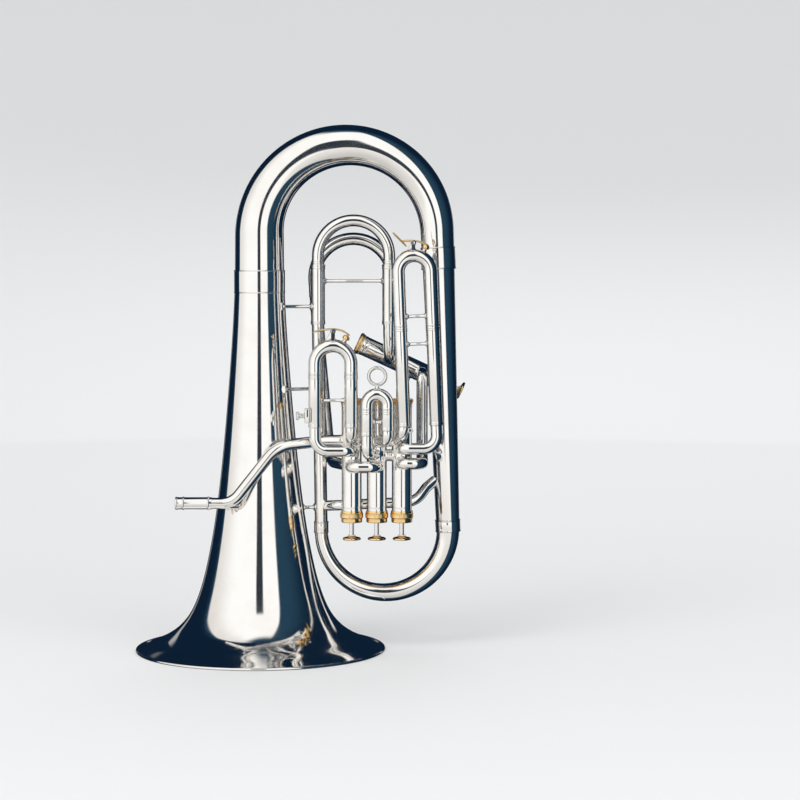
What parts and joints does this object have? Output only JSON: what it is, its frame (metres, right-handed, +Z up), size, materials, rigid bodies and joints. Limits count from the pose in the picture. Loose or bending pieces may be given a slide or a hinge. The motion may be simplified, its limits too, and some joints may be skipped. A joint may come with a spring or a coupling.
{
  "type": "euphonium",
  "caption": "Compensating valved brass horn standing on its bell, with working piston valves, tuning slides and water keys.",
  "frame": {"origin": "centre of the bell rim, on the plane that the rim rests on", "axes": "+Z up along the bell, +X from the bell to the outer branch, -Y towards the side with the three finger valves and their slides"},
  "size_m": [0.4042, 0.3048, 0.6401],
  "materials": {
    "silver_plate": "silver plated and mirror polished",
    "gold_plate": "gold plated and polished",
    "valve_alloy": "nickel alloy, ground and lapped",
    "spring_steel": "bright drawn wire",
    "cork": "natural cork",
    "felt": "pressed wool felt"
  },
  "bodies": {
    "horn": {"bell": "silver_plate", "bell_rim": "silver_plate", "bell_ferrule": "silver_plate", "large_bow": "silver_plate", "bow_ferrule": "silver_plate", "outer_branch": "silver_plate", "small_bow": "silver_plate", "small_bow_ferrules": "silver_plate", "inner_branch": "silver_plate", "leadpipe": "silver_plate", "mouthpiece_receiver": "silver_plate", "casing_1": "silver_plate", "casing_2": "silver_plate", "casing_3": "silver_plate", "casing_4": "silver_plate", "top_cap_1": "gold_plate", "top_cap_2": "gold_plate", "top_cap_3": "gold_plate", "top_cap_4": "gold_plate", "bottom_cap_1": "gold_plate", "bottom_cap_2": "gold_plate", "bottom_cap_3": "gold_plate", "bottom_cap_4": "gold_plate", "valve_spring_1": "spring_steel", "valve_spring_2": "spring_steel", "valve_spring_3": "spring_steel", "valve_spring_4": "spring_steel", "main_slide_sleeves": "silver_plate", "main_slide_elbow": "silver_plate", "slide_1_sleeves": "silver_plate", "slide_2_sleeves": "silver_plate", "slide_3_sleeves": "silver_plate", "slide_4_sleeves": "silver_plate", "slide_goosenecks": "silver_plate", "slide_4_pipes": "silver_plate", "comp_loops": "silver_plate", "valve_knuckle": "silver_plate", "valve_links": "silver_plate", "bell_braces": "silver_plate", "cluster_brace": "silver_plate", "lyre_socket": "silver_plate"},
    "valve_1": {"piston_1": "valve_alloy", "button_1": "gold_plate"},
    "valve_2": {"piston_2": "valve_alloy", "button_2": "gold_plate"},
    "valve_3": {"piston_3": "valve_alloy", "button_3": "gold_plate"},
    "valve_4": {"piston_4": "valve_alloy", "button_4": "gold_plate"},
    "main_slide": {"main_slide_crook": "silver_plate"},
    "slide_1": {"slide_1_crook": "silver_plate", "key_saddle_1": "silver_plate"},
    "slide_2": {"slide_2_crook": "silver_plate", "finger_ring": "silver_plate"},
    "slide_3": {"slide_3_crook": "silver_plate", "key_saddle_3": "silver_plate"},
    "slide_4": {"slide_4_crook": "silver_plate"},
    "key_1": {"water_key_1": "gold_plate"},
    "key_3": {"water_key_3": "gold_plate"},
    "lyre_thumbscrew": {"lyre_screw": "silver_plate"}
  },
  "joints": [
    {"name": "valve_1_press", "type": "slide", "parent": "horn", "child": "valve_1", "axis": [0, 0, 1], "range_m": [0, 0.0145], "stiffness_N_per_m": 150, "springref_m": -0.02, "deforming": ["valve_spring_1"]},
    {"name": "valve_2_press", "type": "slide", "parent": "horn", "child": "valve_2", "axis": [0, 0, 1], "range_m": [0, 0.0145], "stiffness_N_per_m": 150, "springref_m": -0.02, "deforming": ["valve_spring_2"]},
    {"name": "valve_3_press", "type": "slide", "parent": "horn", "child": "valve_3", "axis": [0, 0, 1], "range_m": [0, 0.0145], "stiffness_N_per_m": 150, "springref_m": -0.02, "deforming": ["valve_spring_3"]},
    {"name": "valve_4_press", "type": "slide", "parent": "horn", "child": "valve_4", "axis": [-0.9078, 0, 0.4195], "range_m": [0, 0.0145], "stiffness_N_per_m": 150, "springref_m": -0.02, "deforming": ["valve_spring_4"]},
    {"name": "main_slide_pull", "type": "slide", "parent": "horn", "child": "main_slide", "axis": [0, 0, 1], "range_m": [0, 0.05]},
    {"name": "slide_1_pull", "type": "slide", "parent": "horn", "child": "slide_1", "axis": [0, 0, 1], "range_m": [0, 0.04]},
    {"name": "slide_2_pull", "type": "slide", "parent": "horn", "child": "slide_2", "axis": [0, 0, 1], "range_m": [0, 0.016]},
    {"name": "slide_3_pull", "type": "slide", "parent": "horn", "child": "slide_3", "axis": [-0.0384, 0, 0.9993], "range_m": [0, 0.08]},
    {"name": "slide_4_pull", "type": "slide", "parent": "horn", "child": "slide_4", "axis": [-0.075, 0, 0.9972], "range_m": [0, 0.034]},
    {"name": "water_key_1_press", "type": "hinge", "parent": "slide_1", "child": "key_1", "pos_m": [0.0912, -0.066, 0.3912], "axis": [0, -1, 0], "range_deg": [0, 14], "stiffness_Nm_per_rad": 0.05, "springref_deg": -17.19},
    {"name": "water_key_3_press", "type": "hinge", "parent": "slide_3", "child": "key_3", "pos_m": [0.18659, -0.066, 0.49577], "axis": [0, -1, 0], "range_deg": [0, 14], "stiffness_Nm_per_rad": 0.05, "springref_deg": -17.19},
    {"name": "lyre_screw_turn", "type": "hinge", "parent": "horn", "child": "lyre_thumbscrew", "pos_m": [0.05, -0.072, 0.2909], "axis": [1, 0, 0], "continuous": true}
  ]
}
